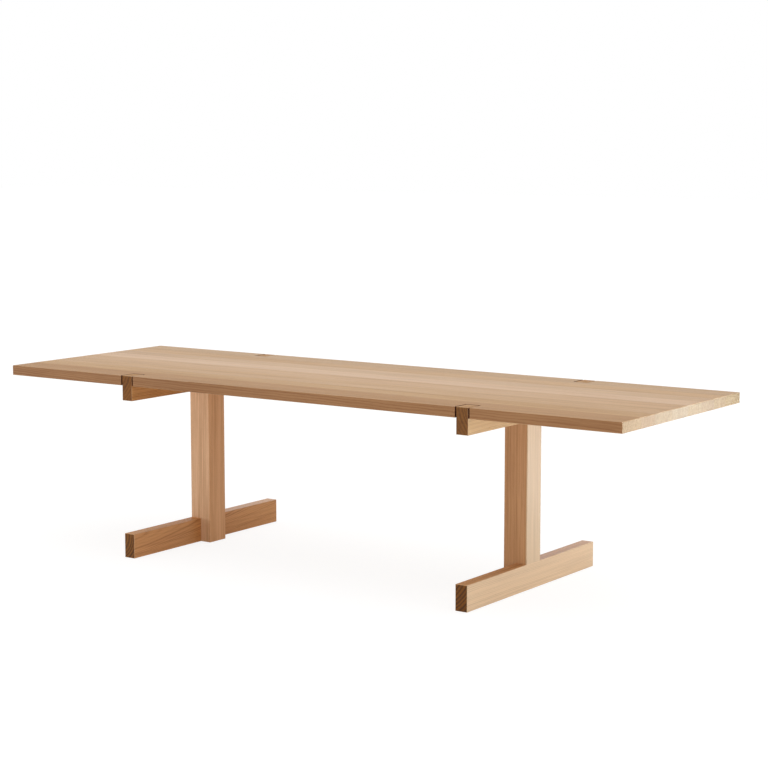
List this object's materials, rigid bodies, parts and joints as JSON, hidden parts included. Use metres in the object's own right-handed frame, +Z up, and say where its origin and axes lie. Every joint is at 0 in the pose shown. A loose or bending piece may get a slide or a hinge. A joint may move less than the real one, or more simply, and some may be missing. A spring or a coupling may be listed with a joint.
{
  "type": "trestle dining table",
  "caption": "Long solid-oak dining table with an edge-glued plank top on two lapped post-and-beam trestles; the bearer ends rise flush through notches in the top's long edges.",
  "frame": {"origin": "on the floor, under the middle of the top", "axes": "+X along the table towards the right trestle, +Y across it towards the back edge, +Z up"},
  "size_m": [2.85, 0.93, 0.74],
  "materials": {
    "oak_top": "matt oiled oak",
    "oak_frame": "matt oiled oak",
    "beech_dowel": "bare beech",
    "zinc_steel": "zinc plated",
    "black_steel": "matt black powder coat",
    "brass_insert": "turned brass",
    "felt": "pressed wool felt"
  },
  "bodies": {
    "root": {"top_board_front": "oak_top", "top_board_2": "oak_top", "top_board_3": "oak_top", "top_board_4": "oak_top", "top_board_5": "oak_top", "top_board_6": "oak_top", "top_board_7": "oak_top", "top_board_back": "oak_top", "left_bearer": "oak_frame", "left_post": "oak_frame", "left_foot": "oak_frame", "left_foot_dowels": "beech_dowel", "left_bearer_dowels": "beech_dowel", "left_top_bolts": "zinc_steel", "left_bolt_washers": "zinc_steel", "left_bolt_inserts": "brass_insert", "left_fixing_plate": "black_steel", "left_plate_screws": "zinc_steel", "left_plate_bolts": "zinc_steel", "left_plate_inserts": "brass_insert", "left_floor_glides": "felt", "right_bearer": "oak_frame", "right_post": "oak_frame", "right_foot": "oak_frame", "right_foot_dowels": "beech_dowel", "right_bearer_dowels": "beech_dowel", "right_top_bolts": "zinc_steel", "right_bolt_washers": "zinc_steel", "right_bolt_inserts": "brass_insert", "right_fixing_plate": "black_steel", "right_plate_screws": "zinc_steel", "right_plate_bolts": "zinc_steel", "right_plate_inserts": "brass_insert", "right_floor_glides": "felt"}
  },
  "joints": []
}
